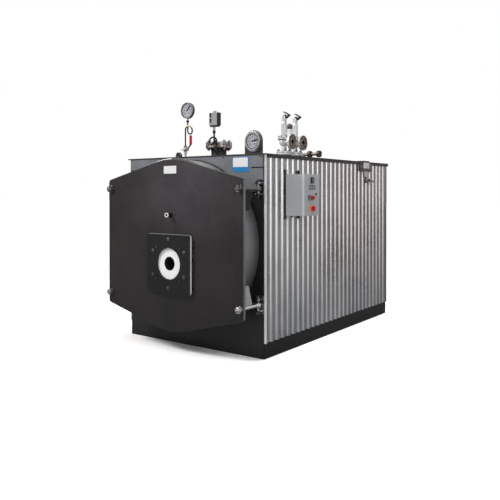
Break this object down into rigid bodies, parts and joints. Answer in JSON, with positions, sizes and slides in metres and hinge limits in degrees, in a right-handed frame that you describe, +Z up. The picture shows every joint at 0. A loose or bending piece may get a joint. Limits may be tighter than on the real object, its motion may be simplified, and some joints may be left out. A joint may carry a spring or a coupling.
{
  "type": "industrial steam boiler",
  "caption": "Horizontal fire-tube boiler in a corrugated casing, with a bolted swing-open front door, burner plate, control box, steam outlet, safety valves and gauges.",
  "frame": {"origin": "on the floor under the middle of the casing, on the bottom face of the middle cross member", "axes": "+X to the right side with the control box, +Y to the rear, +Z up"},
  "size_m": [1.6308, 2.6816, 1.9955],
  "materials": {
    "black_base": "satin",
    "panel_dark": "satin",
    "panel_grey": "satin",
    "sheet_metal": "stucco embossed",
    "cover_brown": "satin",
    "drum_grey": "satin",
    "boiler_steel": "mill scale",
    "sooted_steel": "dull",
    "door_paint": "satin",
    "refractory": "rough",
    "zinc": "zinc plated",
    "flange_bronze": "rusted",
    "valve_silver": "silver paint",
    "dark_steel": "black",
    "gauge_case": "polished",
    "switch_grey": "matte",
    "box_grey": "powder coat",
    "instrument_black": "matte",
    "knob_red": "gloss",
    "brass": "dull",
    "lever_red": "dipped",
    "galvanised": "galvanised"
  },
  "bodies": {
    "boiler": {"base_rails": "black_base", "base_cross_members": "black_base", "front_panel_lower": "panel_dark", "front_panel_upper": "panel_grey", "left_side_sheet": "sheet_metal", "right_side_sheet": "sheet_metal", "rear_panel": "panel_grey", "top_cover": "cover_brown", "boiler_shell": "drum_grey", "front_tube_plate": "sooted_steel", "rear_tube_plate": "sooted_steel", "furnace_tube": "sooted_steel", "smoke_tubes": "sooted_steel", "smoke_box": "panel_dark", "flue_outlet": "drum_grey", "hinge_lugs": "zinc", "hinge_pins": "zinc", "left_rods": "zinc", "lifting_eye": "dark_steel", "steam_outlet": "flange_bronze", "steam_blank_flange": "flange_bronze", "pressure_siphon": "dark_steel", "pressure_switch": "switch_grey", "gauge_siphon": "zinc", "pressure_gauge": "gauge_case", "gauge_cock": "brass", "dial_bracket": "cover_brown", "dial_gauge": "gauge_case", "front_safety_valve": "valve_silver", "front_valve_cap": "dark_steel", "rear_safety_valve": "valve_silver", "rear_valve_cap": "dark_steel", "level_probe": "valve_silver", "feed_inlet": "brass", "side_bracket": "galvanised", "side_cock": "galvanised", "blowdown_outlet": "flange_bronze", "control_box_rails": "black_base", "control_box": "box_grey"},
    "door": {"door_plate": "door_paint", "door_lining": "refractory", "burner_plate": "panel_dark", "burner_ring": "refractory", "sight_glass": "zinc", "right_rods": "zinc", "door_nuts": "zinc"},
    "box_door": {"control_box_door": "box_grey", "box_instruments": "instrument_black"},
    "main_switch": {"main_switch": "knob_red"},
    "gauge_lever": {"gauge_cock_lever": "lever_red"}
  },
  "joints": [
    {"name": "door_swing", "type": "hinge", "parent": "boiler", "child": "door", "pos_m": [0.665, -1.1048, 0.82], "axis": [0, 0, 1], "range_deg": [0, 95]},
    {"name": "box_door_swing", "type": "hinge", "parent": "boiler", "child": "box_door", "pos_m": [0.865, -0.8228, 1.1955], "axis": [0, 0, -1], "range_deg": [0, 110]},
    {"name": "main_switch_turn", "type": "hinge", "parent": "box_door", "child": "main_switch", "pos_m": [0.8855, -0.7118, 1.094], "axis": [1, 0, 0], "range_deg": [0, 90]},
    {"name": "gauge_lever_turn", "type": "hinge", "parent": "boiler", "child": "gauge_lever", "pos_m": [-0.228, -0.8968, 1.57], "axis": [1, 0, 0], "range_deg": [0, 90]}
  ]
}
